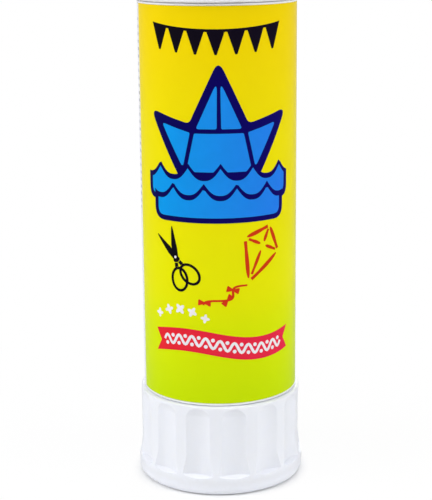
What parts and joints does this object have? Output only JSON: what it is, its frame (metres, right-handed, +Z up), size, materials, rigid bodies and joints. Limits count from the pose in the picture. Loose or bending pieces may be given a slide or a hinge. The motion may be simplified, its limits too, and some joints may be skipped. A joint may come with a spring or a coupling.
{
  "type": "glue stick",
  "caption": "Twist-up glue stick: turning the fluted knob lifts the adhesive on a screw inside the labelled barrel, under a pull-off cap.",
  "frame": {"origin": "centre of the knob's foot ring, on the surface that the stick stands on", "axes": "+Z up along the stick's axis, from the knob to the cap; -Y towards the front of the label; the label's lapped seam faces +Y"},
  "size_m": [0.0272, 0.0272, 0.1],
  "materials": {
    "knob_plastic": "white polypropylene, moulded, satin",
    "barrel_plastic": "white polypropylene, moulded, smooth",
    "label_film": "printed film, yellow at the top fading to lime at the bottom, glossy",
    "spindle_plastic": "natural white polyethylene, moulded",
    "carrier_plastic": "natural white polyethylene, moulded",
    "adhesive": "translucent off-white solid glue, waxy",
    "cap_plastic": "white polypropylene, moulded, satin",
    "seal_plastic": "soft natural polyethylene"
  },
  "bodies": {
    "barrel": {"barrel": "barrel_plastic", "label": "label_film"},
    "knob": {"knob": "knob_plastic", "spindle": "spindle_plastic"},
    "carrier": {"carrier": "carrier_plastic", "glue": "adhesive"},
    "cap": {"cap": "cap_plastic", "cap_seal": "seal_plastic"}
  },
  "joints": [
    {"name": "knob_turn", "type": "hinge", "parent": "barrel", "child": "knob", "pos_m": [0, 0, 0.015], "axis": [0, 0, 1], "range_deg": [0, 3960]},
    {"name": "glue_lift", "type": "slide", "parent": "barrel", "child": "carrier", "axis": [0, 0, 1], "range_m": [0, 0.055]},
    {"name": "cap_pull", "type": "slide", "parent": "carrier", "child": "cap", "axis": [0, 0, 1], "range_m": [0, 0.035]}
  ],
  "couplings": [
    {"joint": "knob_turn", "follows": "glue_lift", "rad_per_m": 1256.6}
  ]
}
